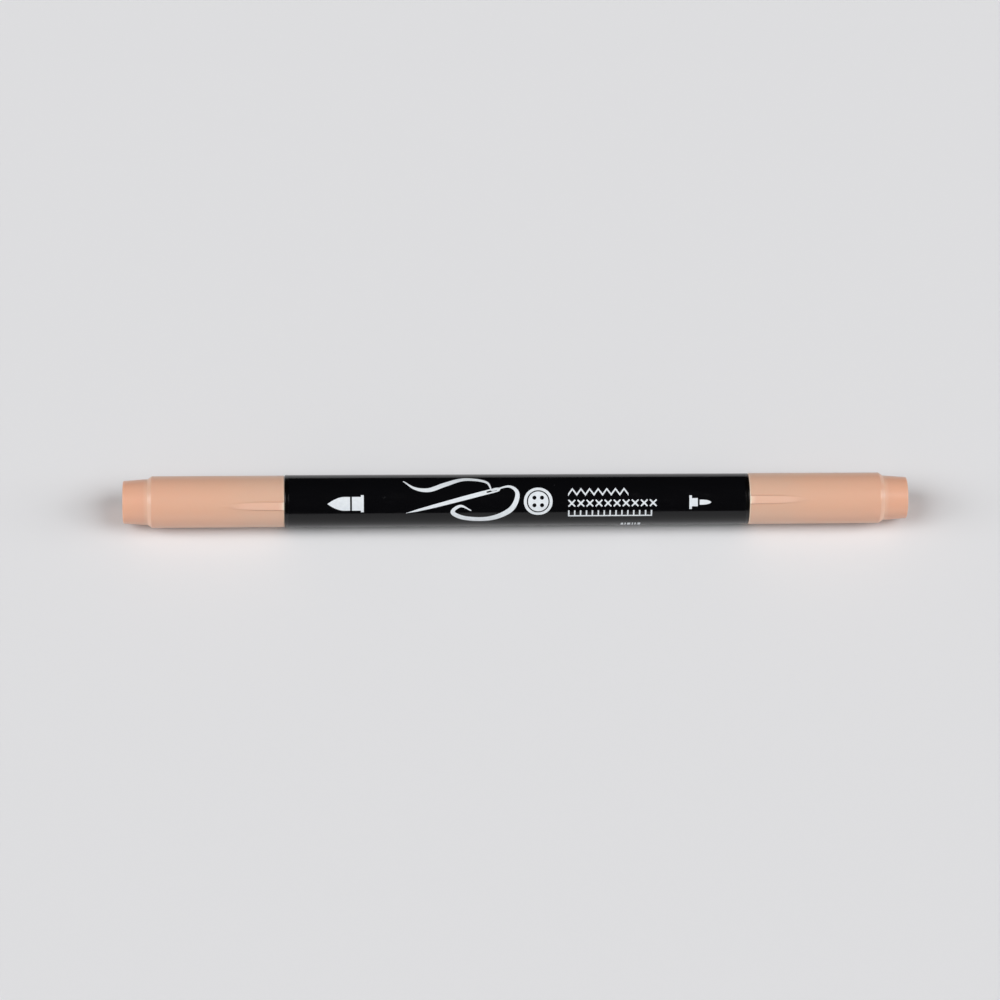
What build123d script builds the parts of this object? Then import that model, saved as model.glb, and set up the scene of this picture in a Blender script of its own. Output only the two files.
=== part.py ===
from build123d import *
import math
import os

# Fabric marking pen with a brush tip at -X and a bullet tip at +X, both capped.
# Millimetres. +X runs along the pen, +Z is up, and the origin is at the middle of the
# rectangle that the pen covers on the table. "Out" is a distance from the barrel's end
# face towards that end's nib; it is negative inside the barrel.

# ---- overall ----
BARREL_LONG = 95.45
BRUSH_CAP_LONG = 33.2
BULLET_CAP_LONG = 32.9
BRUSH_END_X = (BRUSH_CAP_LONG - BULLET_CAP_LONG - BARREL_LONG) / 2
BULLET_END_X = BRUSH_END_X + BARREL_LONG

# ---- barrel and its printed film ----
BRUSH_END_R = 5.41           # the barrel tapers towards the bullet end
BULLET_END_R = 5.22
BARREL_EDGE_R = 0.15
BARREL_BORE_R = 4.35
FILM_THICK = 0.08            # the film lies flush in a recess of its own depth
FILM_SETBACK = 0.75          # rim left at each end of that recess
RIB_COUNT = 4                # ribs inside the barrel that centre the reservoir
RIB_WIDE = 0.8
RIB_HIGH = 0.3
RIB_ROOT = 0.3               # how far a rib runs into the wall it stands on

# ---- nib holders, the same for both ends ----
SKIRT_LONG = 12.0            # pressed into the barrel
SKIRT_LEAD = 0.6             # tapered start of the skirt
SKIRT_LEAD_IN = 0.2
SKIRT_CAVITY_R = 3.6
CAVITY_OUT = 5.0             # the cavity runs on into the collar
COLLAR_LONG = 8.0
COLLAR_CHAMFER = 0.35
LAND_OUT = 12.0              # end of the land that the liner seals on
FERRULE_CHAMFER = 0.2
SNAP_OUT = 5.9               # middle of the snap ridge
SNAP_LONG = 1.6
SNAP_HIGH = 0.04
SNAP_FLAT = 0.6
VENT_COUNT = 3               # air grooves along the nib's bore
VENT_WIDE = 0.5
CUT_OVER = 0.3               # how far a cutter runs past what it cuts

# ---- nibs and reservoir ----
BRUSH_TIP_OUT = 24.5
BRUSH_TIP_R = 0.3
BRUSH_STRAIGHT = 1.2         # the brush leaves the ferrule straight before it narrows
BULLET_TIP_OUT = 20.4
BULLET_STRAIGHT = 1.5
BULLET_DOME_R = 0.75
TAIL_STEP = 0.3              # the brush nib's tail is this much thinner than its shank
TAIL_IN_RESERVOIR = 6.0      # how far each nib's tail reaches into the reservoir
TAIL_LEAD = 1.2              # tapered end of each tail
TAIL_LEAD_IN = 0.35
RESERVOIR_R = 3.9
RESERVOIR_FILM = 0.1
RESERVOIR_GAP = 0.3          # to the end of each skirt

# ---- caps, the same for both ends ----
SEAM = 0.06                  # gap between the cap's mouth and the barrel's end face
LIP_R = 0.3                  # rounded outer edge of the mouth
MOUTH_CHAMFER = 0.25
STEP_WALL = 0.7              # wall between the body's bore and the shoulder
END_WALL = 1.0
END_EDGE_R = 0.25
SNAP_GROOVE = 0.1
GROOVE_PLAY = 0.2            # the groove is longer than the ridge's flat at each side
GROOVE_FLANK = 0.5

# ---- inner caps (liners) ----
LINER_MOUTH_OUT = 8.4
LINER_WALL = 0.45
LINER_END_WALL = 0.8
LINER_LIP_LONG = 0.8
LINER_GAP = 0.4              # to the shell's step and end wall
LINER_PLAY = 0.04            # between the liner and the shell
SEAL_PLAY = 0.03             # between the liner's lip and the holder's land
LINER_STEP = 0.2             # the liner's bore is this much wider than the land
TAIL_INNER_R = 3.1
FIN_COUNT = 6
FIN_WIDE = 0.7
FIN_ROOT = 0.2
FIN_PLAY = 0.06
FIN_START = 1.0              # from the liner's mouth

# ---- anti-roll rib on each cap ----
SPEAR_LONG = 11.4
SPEAR_POINT_LONG = 4.6       # the stretch that narrows to the point
SPEAR_WIDE = 1.8
SPEAR_HIGH = 0.35
SPEAR_START = 0.12
SPEAR_NOSE_LONG = 0.25       # sloping start of its crown, at the mouth
SPEAR_NOSE_LOW = 0.15
SPEAR_POINT_HIGH = 0.02
SPEAR_ROOT = 0.3             # how far it starts above the cap's bore

BRUSH = {
    "end_x": BRUSH_END_X, "way": -1,
    "collar_r": 4.53, "land_r": 3.45, "nose_r": 3.0, "nose_out": 12.9,
    "ferrule_r": 2.5, "ferrule_out": 15.0, "nib_r": 1.9, "tail_r": 1.9 - TAIL_STEP, "vent_r": 2.2,
    "mouth_r": 5.30, "step_r": 5.32, "body_long": 27.3, "bevel_long": 0.8,
    "spigot_root_r": 4.73, "spigot_end_r": 4.37, "cap_long": BRUSH_CAP_LONG,
    "bore_r": 4.6, "spigot_bore_r": 3.6, "spear_turn": 42.9,
}
BULLET = {
    "end_x": BULLET_END_X, "way": 1,
    "collar_r": 4.46, "land_r": 3.3, "nose_r": 2.4, "nose_out": 14.6,
    "ferrule_r": 1.6, "ferrule_out": 16.5, "nib_r": 1.1, "tail_r": 1.1, "vent_r": 1.35,
    "mouth_r": 5.28, "step_r": 5.22, "body_long": 27.1, "bevel_long": 0.9,
    "spigot_root_r": 4.6, "spigot_end_r": 4.25, "cap_long": BULLET_CAP_LONG,
    "bore_r": 4.53, "spigot_bore_r": 3.55, "spear_turn": 34.6,
}

TAIL_REAR = -SKIRT_LONG - RESERVOIR_GAP - TAIL_IN_RESERVOIR     # "out" of each nib's hidden end
AXIS_Z = BRUSH_END_R         # the barrel's wide end rests on the table


def at(end, out, radius):
    """A point of an outline, as (x, radius)."""
    return (end["end_x"] + end["way"] * out, radius)


def turned(end, outline):
    """Solid of revolution about the pen's axis from closed (out, radius) corners."""
    return along_barrel([at(end, out, radius) for out, radius in outline])


def along_barrel(outline):
    """Solid of revolution from closed (x, radius) corners."""
    return revolve(make_face(Polyline(*outline, close=True)), Axis.X)


def bar(x_low, x_high, wide, r_low, r_high, angle):
    """Straight bar parallel to the axis, standing between two radii at an angle round it."""
    block = Box(x_high - x_low, wide, r_high - r_low, align=(Align.MIN, Align.CENTER, Align.MIN))
    return Rot(angle, 0, 0) * (Pos(x_low, 0, r_low) * block)


def span(end, out_a, out_b):
    """The two x values of a stretch, lowest first."""
    return sorted((end["end_x"] + end["way"] * out_a, end["end_x"] + end["way"] * out_b))


def circle_edges(solid, x, radius):
    """The circular edges at one place along the axis."""
    return [
        e for e in solid.edges().filter_by(GeomType.CIRCLE)
        if abs(e.center().X - x) < 0.01 and abs(e.radius - radius) < 0.01
    ]


def barrel_r(x):
    """Outer radius of the barrel's visible surface, rims and film alike."""
    share = (x - BRUSH_END_X) / BARREL_LONG
    return BRUSH_END_R + share * (BULLET_END_R - BRUSH_END_R)


def film_span():
    return BRUSH_END_X + FILM_SETBACK, BULLET_END_X - FILM_SETBACK


def reservoir_span():
    return BRUSH_END_X + SKIRT_LONG + RESERVOIR_GAP, BULLET_END_X - SKIRT_LONG - RESERVOIR_GAP


def make_barrel_tube():
    """Tube with a shallow recess for the film and four ribs in its bore."""
    low, high = film_span()
    tube = along_barrel([
        (BRUSH_END_X, BARREL_BORE_R), (BRUSH_END_X, BRUSH_END_R), (low, barrel_r(low)),
        (low, barrel_r(low) - FILM_THICK), (high, barrel_r(high) - FILM_THICK), (high, barrel_r(high)),
        (BULLET_END_X, BULLET_END_R), (BULLET_END_X, BARREL_BORE_R),
    ])
    ends = circle_edges(tube, BRUSH_END_X, BRUSH_END_R) + circle_edges(tube, BULLET_END_X, BULLET_END_R)
    tube = fillet(ends, BARREL_EDGE_R)
    for i in range(RIB_COUNT):
        angle = (i + 0.5) * 360 / RIB_COUNT
        tube += bar(*reservoir_span(), RIB_WIDE, BARREL_BORE_R - RIB_HIGH, BARREL_BORE_R + RIB_ROOT, angle)
    return tube


def make_label_film():
    low, high = film_span()
    return along_barrel([
        (low, barrel_r(low) - FILM_THICK), (low, barrel_r(low)),
        (high, barrel_r(high)), (high, barrel_r(high) - FILM_THICK),
    ])


def make_nib_holder(end):
    """Skirt in the barrel, snap collar, sealing land and ferrule, with a vented bore for the nib."""
    collar, land = end["collar_r"], end["land_r"]
    ridge, ridge_r = SNAP_LONG / 2, collar + SNAP_HIGH
    body = turned(end, [
        (-SKIRT_LONG, SKIRT_CAVITY_R), (-SKIRT_LONG, BARREL_BORE_R - SKIRT_LEAD_IN),
        (-SKIRT_LONG + SKIRT_LEAD, BARREL_BORE_R), (0, BARREL_BORE_R), (0, collar),
        (SNAP_OUT - ridge, collar), (SNAP_OUT - SNAP_FLAT / 2, ridge_r),
        (SNAP_OUT + SNAP_FLAT / 2, ridge_r), (SNAP_OUT + ridge, collar),
        (COLLAR_LONG - COLLAR_CHAMFER, collar), (COLLAR_LONG, collar - COLLAR_CHAMFER),
        (COLLAR_LONG, land), (LAND_OUT, land), (end["nose_out"], end["nose_r"]),
        (end["nose_out"], end["ferrule_r"]), (end["ferrule_out"] - FERRULE_CHAMFER, end["ferrule_r"]),
        (end["ferrule_out"], end["ferrule_r"] - FERRULE_CHAMFER), (end["ferrule_out"], end["nib_r"]),
        (CAVITY_OUT, end["nib_r"]), (CAVITY_OUT, SKIRT_CAVITY_R),
    ])
    low, high = span(end, CAVITY_OUT - CUT_OVER, end["ferrule_out"] + CUT_OVER)
    for i in range(VENT_COUNT):
        angle = (i + 0.5) * 360 / VENT_COUNT
        body -= bar(low, high, VENT_WIDE, end["nib_r"] - CUT_OVER, end["vent_r"], angle)
    return body


def tail_outline(end):
    """Corners of a nib's hidden end, from the axis up to its tail."""
    tail_r = end["tail_r"]
    rim = at(end, TAIL_REAR, tail_r - TAIL_LEAD_IN)
    return [at(end, TAIL_REAR, 0), rim, at(end, TAIL_REAR + TAIL_LEAD, tail_r)]


def make_brush_nib():
    """Felt brush: its flank leaves the ferrule straight and curves in to a blunt point."""
    end, shank = BRUSH, BRUSH["nib_r"]
    start = at(end, end["ferrule_out"] + BRUSH_STRAIGHT, shank)
    near_tip, tip = at(end, BRUSH_TIP_OUT - BRUSH_TIP_R, BRUSH_TIP_R), at(end, BRUSH_TIP_OUT, 0)
    step = [at(end, CAVITY_OUT - TAIL_LEAD, end["tail_r"]), at(end, CAVITY_OUT, shank)]
    straight = Polyline(tip, *tail_outline(end), *step, start)
    flank = TangentArc(start, near_tip, tangent=(end["way"], 0))
    return revolve(make_face([*straight.edges(), *flank.edges(), *Line(near_tip, tip).edges()]), Axis.X)


def make_bullet_nib():
    """Plastic fibre bullet: a short cone with a domed tip."""
    end, dome = BULLET, BULLET_TIP_OUT - BULLET_DOME_R
    start = at(end, end["ferrule_out"] + BULLET_STRAIGHT, end["nib_r"])
    shoulder = at(end, dome, BULLET_DOME_R)
    straight = Polyline(at(end, BULLET_TIP_OUT, 0), *tail_outline(end), start, shoulder)
    middle = math.sqrt(0.5) * BULLET_DOME_R
    tip = ThreePointArc(shoulder, at(end, dome + middle, middle), at(end, BULLET_TIP_OUT, 0))
    return revolve(make_face([*straight.edges(), *tip.edges()]), Axis.X)


def nib_socket(end):
    """The hole that a nib's tail fills in the reservoir's end."""
    tail_r = end["tail_r"]
    return turned(end, [(TAIL_REAR, 0), (TAIL_REAR, tail_r), (-SKIRT_LONG, tail_r), (-SKIRT_LONG, 0)])


def make_ink_reservoir():
    low, high = reservoir_span()
    rod = along_barrel([(low, 0), (low, RESERVOIR_R), (high, RESERVOIR_R), (high, 0)])
    return rod - nib_socket(BRUSH) - nib_socket(BULLET)


def make_reservoir_film():
    low, high = reservoir_span()
    outer = RESERVOIR_R + RESERVOIR_FILM
    return along_barrel([(low, RESERVOIR_R), (low, outer), (high, outer), (high, RESERVOIR_R)])


def cap_r(end, out):
    """Outer radius of the cap's body."""
    return end["mouth_r"] + out / end["body_long"] * (end["step_r"] - end["mouth_r"])


def make_spear(end):
    """Anti-roll rib: full width at the mouth, narrowing to a point, and sinking into the cap."""
    half, root_r = SPEAR_WIDE / 2, end["bore_r"] + SPEAR_ROOT
    mouth, neck, point = (
        at(end, out, 0)[0] for out in (SPEAR_START, SPEAR_LONG - SPEAR_POINT_LONG, SPEAR_LONG)
    )
    sides = Polyline((neck, half), (mouth, half), (mouth, -half), (neck, -half))
    flanks = [TangentArc((neck, side * half), (point, 0), tangent=(end["way"], 0)) for side in (1, -1)]
    outline = make_face([*sides.edges(), *flanks[0].edges(), *flanks[1].edges()])
    blade = extrude(Pos(0, 0, root_r) * outline, cap_r(end, 0) + SPEAR_HIGH - root_r + CUT_OVER)
    crown = turned(end, [
        (SPEAR_START, 0), (SPEAR_START, cap_r(end, 0) + SPEAR_HIGH - SPEAR_NOSE_LOW),
        (SPEAR_START + SPEAR_NOSE_LONG, cap_r(end, 0) + SPEAR_HIGH),
        (SPEAR_LONG, cap_r(end, SPEAR_LONG) + SPEAR_POINT_HIGH), (SPEAR_LONG, 0),
    ])
    return Rot(end["spear_turn"], 0, 0) * (blade & crown)


def make_cap_shell(end):
    """Cap body with a bevelled shoulder, a spigot that posts in another cap, and a snap groove."""
    shoulder, step_in = end["body_long"] + end["bevel_long"], end["body_long"] - STEP_WALL
    groove_r, flat = end["bore_r"] + SNAP_GROOVE, SNAP_FLAT / 2 + GROOVE_PLAY
    shell = turned(end, [
        (SEAM, end["bore_r"] + MOUTH_CHAMFER), (SEAM, cap_r(end, 0)),
        (end["body_long"], end["step_r"]), (shoulder, end["spigot_root_r"]),
        (end["cap_long"], end["spigot_end_r"]), (end["cap_long"], 0),
        (end["cap_long"] - END_WALL, 0), (end["cap_long"] - END_WALL, end["spigot_bore_r"]),
        (step_in, end["spigot_bore_r"]), (step_in, end["bore_r"]),
        (SNAP_OUT + flat + GROOVE_FLANK, end["bore_r"]), (SNAP_OUT + flat, groove_r),
        (SNAP_OUT - flat, groove_r), (SNAP_OUT - flat - GROOVE_FLANK, end["bore_r"]),
        (SEAM + MOUTH_CHAMFER, end["bore_r"]),
    ])
    shell = fillet(circle_edges(shell, *at(end, SEAM, cap_r(end, 0))), LIP_R)
    shell = fillet(circle_edges(shell, *at(end, end["cap_long"], end["spigot_end_r"])), END_EDGE_R)
    return shell + make_spear(end)


def make_cap_liner(end):
    """Thin inner cap: a lip seals on the holder's land, fins centre it in the shell."""
    inner = end["land_r"] + LINER_STEP
    outer = inner + LINER_WALL
    tail_outer = end["spigot_bore_r"] - LINER_PLAY
    shoulder = end["body_long"] - STEP_WALL - LINER_GAP
    tail_end = end["cap_long"] - END_WALL - LINER_GAP
    floor, lip = tail_end - LINER_END_WALL, end["land_r"] + SEAL_PLAY
    cup = turned(end, [
        (LINER_MOUTH_OUT, inner), (LINER_MOUTH_OUT, outer), (shoulder, outer), (shoulder, tail_outer),
        (tail_end, tail_outer), (tail_end, 0), (floor, 0), (floor, TAIL_INNER_R),
        (shoulder - LINER_WALL, TAIL_INNER_R), (shoulder - LINER_WALL, inner),
        (LINER_MOUTH_OUT + 2 * LINER_LIP_LONG, inner), (LINER_MOUTH_OUT + 1.5 * LINER_LIP_LONG, lip),
        (LINER_MOUTH_OUT + LINER_LIP_LONG, lip),
    ])
    low, high = span(end, LINER_MOUTH_OUT + FIN_START, shoulder)
    for i in range(FIN_COUNT):
        cup += bar(low, high, FIN_WIDE, outer - FIN_ROOT, end["bore_r"] - FIN_PLAY, i * 360 / FIN_COUNT)
    return cup


os.makedirs("parts", exist_ok=True)
nodes = {
    "barrel_tube": make_barrel_tube(),
    "label_film": make_label_film(),
    "brush_nib_holder": make_nib_holder(BRUSH),
    "bullet_nib_holder": make_nib_holder(BULLET),
    "brush_nib": make_brush_nib(),
    "bullet_nib": make_bullet_nib(),
    "ink_reservoir": make_ink_reservoir(),
    "reservoir_film": make_reservoir_film(),
    "brush_cap_shell": make_cap_shell(BRUSH),
    "brush_cap_liner": make_cap_liner(BRUSH),
    "bullet_cap_shell": make_cap_shell(BULLET),
    "bullet_cap_liner": make_cap_liner(BULLET),
}
for name, shape in nodes.items():
    export_step(Pos(0, 0, AXIS_Z) * shape, f"parts/{name}.step")
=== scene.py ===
import math

import bmesh
import bpy
import numpy as np
from mathutils import Matrix, Vector


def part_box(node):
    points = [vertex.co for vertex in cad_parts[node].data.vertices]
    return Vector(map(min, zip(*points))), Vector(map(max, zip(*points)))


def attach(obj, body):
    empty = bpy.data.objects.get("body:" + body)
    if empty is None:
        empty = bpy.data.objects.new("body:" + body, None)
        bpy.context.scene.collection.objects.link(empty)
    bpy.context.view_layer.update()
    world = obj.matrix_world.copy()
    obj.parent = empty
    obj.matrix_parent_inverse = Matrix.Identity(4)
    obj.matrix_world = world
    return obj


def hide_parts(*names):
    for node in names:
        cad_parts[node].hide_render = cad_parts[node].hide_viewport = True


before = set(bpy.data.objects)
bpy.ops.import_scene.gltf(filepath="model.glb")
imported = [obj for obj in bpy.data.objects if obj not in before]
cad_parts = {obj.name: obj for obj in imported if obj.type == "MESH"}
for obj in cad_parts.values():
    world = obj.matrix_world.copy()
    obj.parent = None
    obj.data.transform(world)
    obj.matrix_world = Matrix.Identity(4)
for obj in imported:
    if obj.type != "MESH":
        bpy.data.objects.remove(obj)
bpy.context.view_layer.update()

# A capped dual-tip fabric marking pen lying on a pale floor. Brush end at -X, bullet end at +X.
# Lengths below are in millimetres and go through MM; everything in Blender is in metres.

MM = 0.001
ENDS = ("brush", "bullet")

# ---- places read from the frame ----
SHELL = {end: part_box(f"{end}_cap_shell") for end in ENDS}
TUBE_LOW, TUBE_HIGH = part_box("barrel_tube")
FILM_LOW, FILM_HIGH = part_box("label_film")
AXIS_Z = (TUBE_LOW.z + TUBE_HIGH.z) / 2 / MM
BRUSH_END_X = TUBE_LOW.x / MM
BULLET_END_X = TUBE_HIGH.x / MM


# =============================================================== camera and light
VIEW_ELEVATION = math.radians(58)      # above the floor, from the -Y side
VIEW_DISTANCE = 0.9                    # metres
VIEW_TARGET = Vector((-3.28, 0.0, AXIS_Z)) * MM
CAMERA_X = -40 * MM                    # stands a little towards the brush end
VIEW_WIDE = 0.206                      # metres that the picture's width spans at the pen
SENSOR_WIDE = 36.0
CAMERA_ROLL = math.radians(-0.35)

# name, azimuth from straight along the pen towards the front, elevation, width (degrees), strength
SUNS = (("side_high", 20, 50, 38, 1.37), ("side_low", 5, 25, 30, 0.93), ("front_low", 50, 20, 50, 0.20))
FLOOR_HALF = 12.0                      # metres from the pen to the floor's edges


def make_camera():
    data = bpy.data.cameras.new("camera")
    camera = bpy.data.objects.new("camera", data)
    bpy.context.scene.collection.objects.link(camera)
    back = Vector((0, -math.cos(VIEW_ELEVATION), math.sin(VIEW_ELEVATION)))
    camera.location = VIEW_TARGET + back * VIEW_DISTANCE
    camera.location.x = CAMERA_X
    ahead = (VIEW_TARGET - camera.location).normalized()
    right = (Vector((1, 0, 0)) - ahead * ahead.x).normalized()     # keeps the pen level in the picture
    level = Matrix((right, right.cross(ahead), -ahead)).transposed()
    camera.rotation_euler = (level @ Matrix.Rotation(CAMERA_ROLL, 3, "Z")).to_euler()
    data.sensor_width = SENSOR_WIDE
    data.lens = SENSOR_WIDE * VIEW_DISTANCE / VIEW_WIDE
    data.clip_start, data.clip_end = 0.01, 50
    bpy.context.scene.camera = camera


def make_sun(name, azimuth, elevation, wide, strength):
    """A distant soft light; azimuth is measured from +X towards +Y."""
    data = bpy.data.lights.new(name, "SUN")
    data.energy = strength
    data.angle = math.radians(wide)
    lamp = bpy.data.objects.new(name, data)
    bpy.context.scene.collection.objects.link(lamp)
    flat = math.cos(math.radians(elevation))
    towards = Vector((flat * math.cos(math.radians(azimuth)), flat * math.sin(math.radians(azimuth)),
                      math.sin(math.radians(elevation))))
    lamp.rotation_euler = towards.to_track_quat("Z", "Y").to_euler()


def make_lights():
    """Soft lights towards each end of the pen, a little to the front of it."""
    for name, frontward, elevation, wide, strength in SUNS:
        make_sun(f"brush_{name}", 180 + frontward, elevation, wide, strength)
        make_sun(f"bullet_{name}", -frontward, elevation, wide, strength)


def make_world():
    """A pale backdrop past the floor's edges that lights the pen hardly at all."""
    world = bpy.data.worlds.new("studio")
    bpy.context.scene.world = world
    world.use_nodes = True
    nodes, links = world.node_tree.nodes, world.node_tree.links
    nodes.clear()
    dark, pale = nodes.new("ShaderNodeBackground"), nodes.new("ShaderNodeBackground")
    dark.inputs["Color"].default_value = (1, 1, 1, 1)
    dark.inputs["Strength"].default_value = 0.005
    pale.inputs["Color"].default_value = (0.72, 0.72, 0.735, 1)
    pale.inputs["Strength"].default_value = 1.0
    path, mix = nodes.new("ShaderNodeLightPath"), nodes.new("ShaderNodeMixShader")
    out = nodes.new("ShaderNodeOutputWorld")
    links.new(path.outputs["Is Camera Ray"], mix.inputs["Fac"])
    links.new(dark.outputs[0], mix.inputs[1])
    links.new(pale.outputs[0], mix.inputs[2])
    links.new(mix.outputs[0], out.inputs["Surface"])


def make_floor():
    mesh = bpy.data.meshes.new("floor")
    corners = [(x * FLOOR_HALF, y * FLOOR_HALF, 0) for x, y in ((-1, -1), (1, -1), (1, 1), (-1, 1))]
    mesh.from_pydata(corners, [], [(0, 1, 2, 3)])
    floor = bpy.data.objects.new("floor", mesh)
    bpy.context.scene.collection.objects.link(floor)
    paper = new_material("floor_paper", (0.752, 0.752, 0.766), roughness=0.75)
    principled(paper).inputs["Specular IOR Level"].default_value = 0.2
    add_bump(paper, noise(paper, scale=900, detail=3), distance=0.02, strength=0.25)
    mesh.materials.append(paper)


# =============================================================== material helpers
def new_material(name, color, roughness, **sockets):
    """A Principled material; sockets are the shader's own, with _ for a space."""
    material = bpy.data.materials.new(name)
    material.use_nodes = True
    shader = principled(material)
    shader.inputs["Base Color"].default_value = (*color, 1)
    shader.inputs["Roughness"].default_value = roughness
    for socket, value in sockets.items():
        shader.inputs[socket.replace("_", " ")].default_value = value
    return material


def principled(material):
    return next(n for n in material.node_tree.nodes if n.type == "BSDF_PRINCIPLED")


def node(material, kind, **settings):
    """A new shader node; settings are its input sockets' values or its own properties."""
    made = material.node_tree.nodes.new(kind)
    for key, value in settings.items():
        if key in made.inputs:
            made.inputs[key].default_value = value
        else:
            setattr(made, key, value)
    return made


def link(material, source, target):
    material.node_tree.links.new(source, target)


def position(material, stretch=(1, 1, 1)):
    """Object coordinates in metres, stretched along each axis."""
    place = node(material, "ShaderNodeTexCoord")
    mapping = node(material, "ShaderNodeMapping")
    mapping.inputs["Scale"].default_value = stretch
    link(material, place.outputs["Object"], mapping.inputs["Vector"])
    return mapping.outputs["Vector"]


def noise(material, scale, detail=4.0, roughness=0.5, stretch=(1, 1, 1)):
    """Noise with that many features in a metre."""
    made = node(material, "ShaderNodeTexNoise")
    made.inputs["Scale"].default_value = scale
    made.inputs["Detail"].default_value = detail
    made.inputs["Roughness"].default_value = roughness
    link(material, position(material, stretch), made.inputs["Vector"])
    return made.outputs["Fac"]


def remap(material, value, low, high, to_low=0, to_high=1):
    """The value's low to high range mapped to another and clamped there."""
    made = node(material, "ShaderNodeMapRange")
    for socket, number in (("From Min", low), ("From Max", high), ("To Min", to_low), ("To Max", to_high)):
        made.inputs[socket].default_value = number
    link(material, value, made.inputs["Value"])
    return made.outputs["Result"]


def add_bump(material, height, distance, strength=1.0):
    """Bump of that depth in millimetres on top of any bump already there."""
    made = node(material, "ShaderNodeBump")
    made.inputs["Strength"].default_value = strength
    made.inputs["Distance"].default_value = distance * MM
    link(material, height, made.inputs["Height"])
    normal = principled(material).inputs["Normal"]
    if normal.links:
        link(material, normal.links[0].from_socket, made.inputs["Normal"])
    link(material, made.outputs["Normal"], normal)


def ramp(material, value, stops):
    """Colour ramp over (place, colour) stops."""
    made = node(material, "ShaderNodeValToRGB")
    points = made.color_ramp.elements
    points[0].position, points[1].position = stops[0][0], stops[-1][0]
    points[0].color, points[1].color = (*stops[0][1], 1), (*stops[-1][1], 1)
    for place, color in stops[1:-1]:
        points.new(place).color = (*color, 1)
    link(material, value, made.inputs["Fac"])
    return made.outputs["Color"]


def mix_color(material, share, first, second, blend="MIX"):
    """Mixes two colours, each a socket or a colour, by a share that is a socket or a float."""
    made = node(material, "ShaderNodeMix", data_type="RGBA", blend_type=blend)
    for socket, value in ((made.inputs[0], share), (made.inputs[6], first), (made.inputs[7], second)):
        if isinstance(value, bpy.types.NodeSocket):
            link(material, value, socket)
        elif isinstance(value, float):
            socket.default_value = value
        else:
            socket.default_value = (*value, 1)
    return made.outputs[2]


# =============================================================== materials
SHADE_RAMP_LONG = 34                         # length of the cap's painted shade ramp, from its mouth outwards


def peach_plastic(end):
    """Moulded polypropylene cap. Its colour ramp along the cap is painted shade: greyer near the mouth,
    where the thin wall lies over the dark collar, and fuller on the solid spigot. The cap's mesh carries
    two attributes: one paints a highlight on the rib's crown and shade in the crease along its foot, the
    other paints highlights on the mouth's edge and the shoulder."""
    way = -1 if end == "brush" else 1
    mouth = SHELL[end][1].x if end == "brush" else SHELL[end][0].x
    made = new_material(f"peach_plastic_{end}", (0.8, 0.47, 0.33), roughness=0.28, IOR=1.49,
                        Subsurface_Weight=0.2, Subsurface_Scale=0.001)
    principled(made).inputs["Subsurface Radius"].default_value = (1.0, 0.55, 0.4)
    split = node(made, "ShaderNodeSeparateXYZ")
    link(made, position(made), split.inputs[0])
    out = remap(made, split.outputs["X"], mouth, mouth + way * SHADE_RAMP_LONG * MM)
    # painted shade: the colour ramps from greyer at the mouth, over the dark collar, to fuller on the
    # spigot
    tone = ramp(made, out, [
        (0.0, (0.715, 0.455, 0.332)), (0.22, (0.725, 0.453, 0.326)), (0.36, (0.748, 0.447, 0.314)),
        (0.80, (0.772, 0.441, 0.306)), (0.86, (0.795, 0.436, 0.298)), (1.0, (0.800, 0.434, 0.292)),
    ])
    cloud = remap(made, noise(made, scale=160, detail=2, stretch=(0.1, 1, 1)), 0.25, 0.75, 0.975, 1.0)
    shade = node(made, "ShaderNodeCombineColor")
    for channel in ("Red", "Green", "Blue"):
        link(made, cloud, shade.inputs[channel])
    toned = mix_color(made, 1.0, tone, shade.outputs[0], "MULTIPLY")
    # painted highlight on the rib's crown, a lighter colour, and painted shade in the crease along its
    # foot, a darker colour
    rib = node(made, "ShaderNodeAttribute", attribute_name="rib_highlight_and_shade").outputs["Fac"]
    crown_highlighted = mix_color(made, remap(made, rib, 0, 1), toned, (0.785, 0.490, 0.365))
    crease_shaded = mix_color(made, remap(made, rib, 0, -1, 0, 0.55), crown_highlighted, (0.60, 0.30, 0.20))
    # painted highlight: the mouth's edge, brightest at the rib's end, and a ring on the shoulder are mixed
    # towards a pale colour
    edge = node(made, "ShaderNodeAttribute", attribute_name="painted_edge_highlight").outputs["Fac"]
    edge_highlighted = mix_color(made, edge, crease_shaded, (1.0, 0.86, 0.70))
    link(made, edge_highlighted, principled(made).inputs["Base Color"])
    add_bump(made, noise(made, scale=180, detail=1, stretch=(0.25, 1, 1)), distance=0.008)
    return made


def gloss_film():
    """Black printed film with the faint waves, scuffs and specks of a handled pen."""
    black, dust = (0.0028, 0.0028, 0.0034), (0.03, 0.03, 0.032)
    made = new_material("black_gloss_film", black, roughness=0.11, IOR=1.47, Specular_IOR_Level=0.38)
    scuff = noise(made, scale=700, detail=6, roughness=0.7, stretch=(0.3, 1, 1))
    rough = remap(made, scuff, 0.45, 0.75, 0.09, 0.24)
    link(made, rough, principled(made).inputs["Roughness"])
    speck = remap(made, noise(made, scale=1500, detail=2), 0.74, 0.80, 0.0, 0.6)
    link(made, mix_color(made, speck, black, dust), principled(made).inputs["Base Color"])
    add_bump(made, noise(made, scale=90, detail=2, stretch=(0.3, 1, 1)), distance=0.010)
    add_bump(made, scuff, distance=0.0015)
    return made


def black_plastic(name, color, low, high, grain):
    """Moulded black plastic with a fine grain; low and high bound its roughness."""
    made = new_material(name, color, roughness=(low + high) / 2, IOR=1.49)
    rough = remap(made, noise(made, scale=500, detail=5), 0.3, 0.7, low, high)
    link(made, rough, principled(made).inputs["Roughness"])
    add_bump(made, noise(made, scale=3000, detail=3), distance=grain)
    return made


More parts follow.
